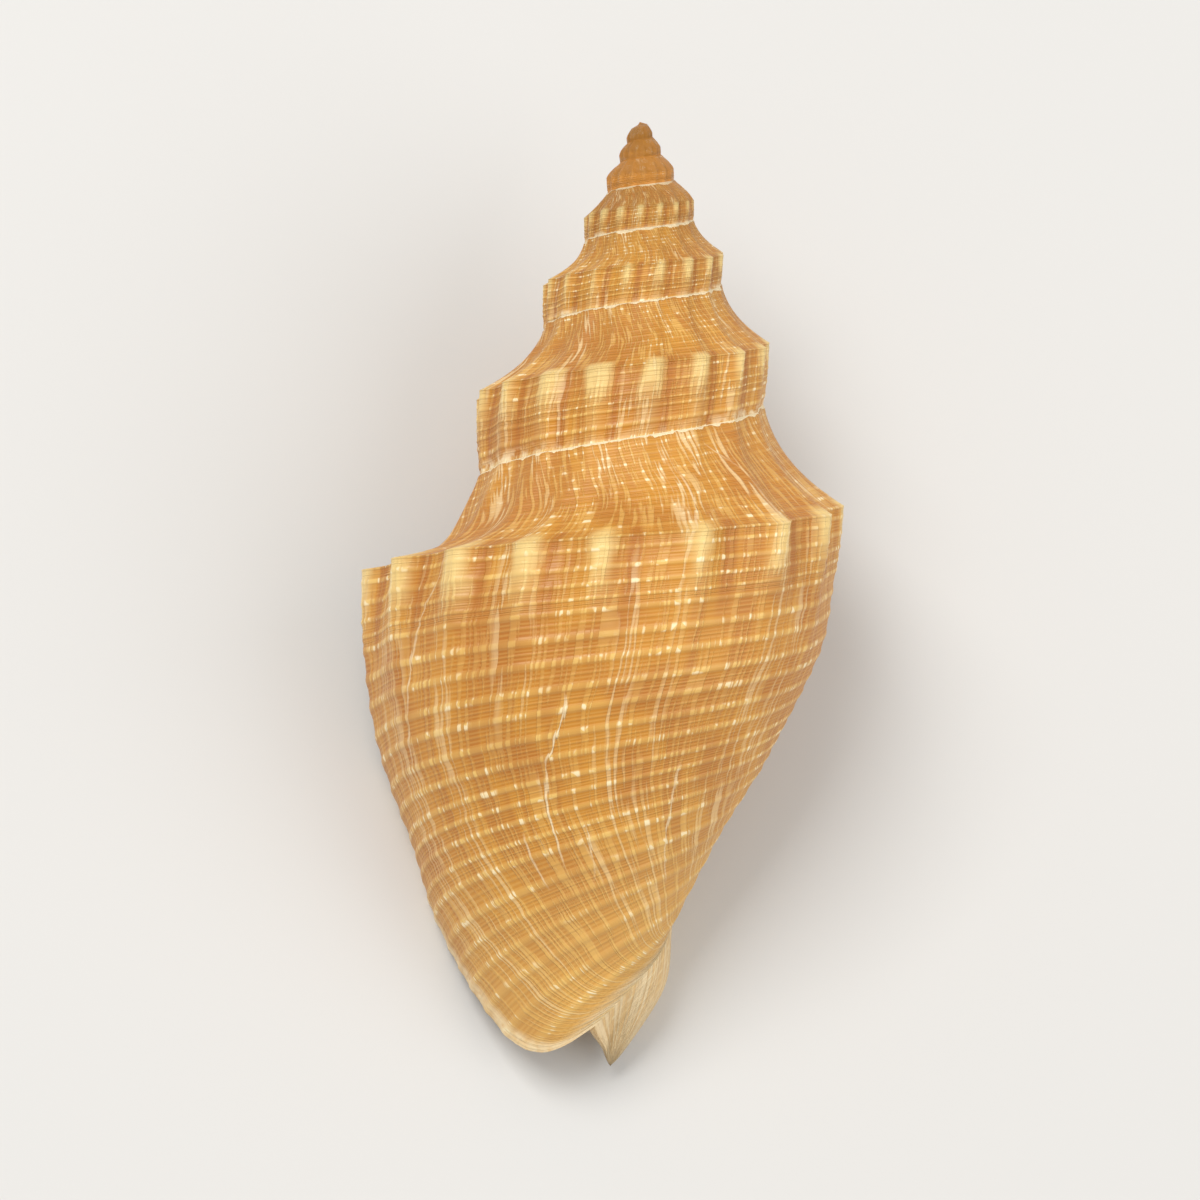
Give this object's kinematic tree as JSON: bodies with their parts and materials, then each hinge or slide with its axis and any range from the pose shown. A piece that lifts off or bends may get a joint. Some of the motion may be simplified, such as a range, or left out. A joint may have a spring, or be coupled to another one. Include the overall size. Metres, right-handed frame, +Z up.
{
  "type": "sea snail shell",
  "caption": "Spired, ribbed sea snail shell with a long opening and a short canal, lying on its opening.",
  "frame": {"origin": "on the ground below the middle of the bounding box", "axes": "+Y along the shell towards its apex, +Z up; the shell lies on its opening, back upwards"},
  "size_m": [0.021, 0.0408, 0.017],
  "materials": {
    "shell": "satin"
  },
  "bodies": {
    "root": {"shell": "shell"}
  },
  "joints": []
}
